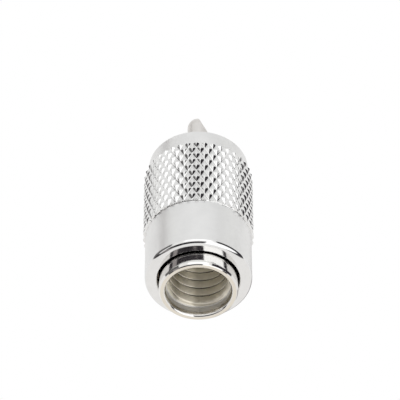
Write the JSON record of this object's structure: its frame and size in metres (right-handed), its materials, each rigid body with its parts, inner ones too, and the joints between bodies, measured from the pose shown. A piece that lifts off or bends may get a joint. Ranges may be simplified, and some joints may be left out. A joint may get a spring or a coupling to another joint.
{
  "type": "uhf coaxial plug",
  "caption": "Plated brass coaxial plug with a hollow scoop-tipped centre pin, a threaded cable barrel and a long diamond-knurled coupling ring that turns and slides.",
  "frame": {"origin": "centre of the barrel's flat rear rim, on which the plug stands", "axes": "+Z along the axis from the cable end to the contact pin's tip, +X towards the side on which the pin's tip is scooped"},
  "size_m": [0.019, 0.019, 0.0435],
  "materials": {
    "polished_plate": "polished nickel plate on brass",
    "satin_plate": "satin nickel plate on brass",
    "spring_bronze": "bare spring bronze",
    "white_fluoropolymer": "machined fluoropolymer",
    "pin_plate": "satin nickel plate on brass"
  },
  "bodies": {
    "plug": {"plug_body": "polished_plate", "insulator": "white_fluoropolymer", "centre_pin": "pin_plate"},
    "clip": {"retaining_ring": "spring_bronze"},
    "ring": {"coupling_ring": "satin_plate"}
  },
  "joints": [
    {"name": "ring_turn", "type": "hinge", "parent": "plug", "child": "clip", "pos_m": [0, 0, 0.0127], "axis": [0, 0, 1], "continuous": true},
    {"name": "ring_slide", "type": "slide", "parent": "clip", "child": "ring", "axis": [0, 0, 1], "range_m": [0, 0.0066]}
  ]
}
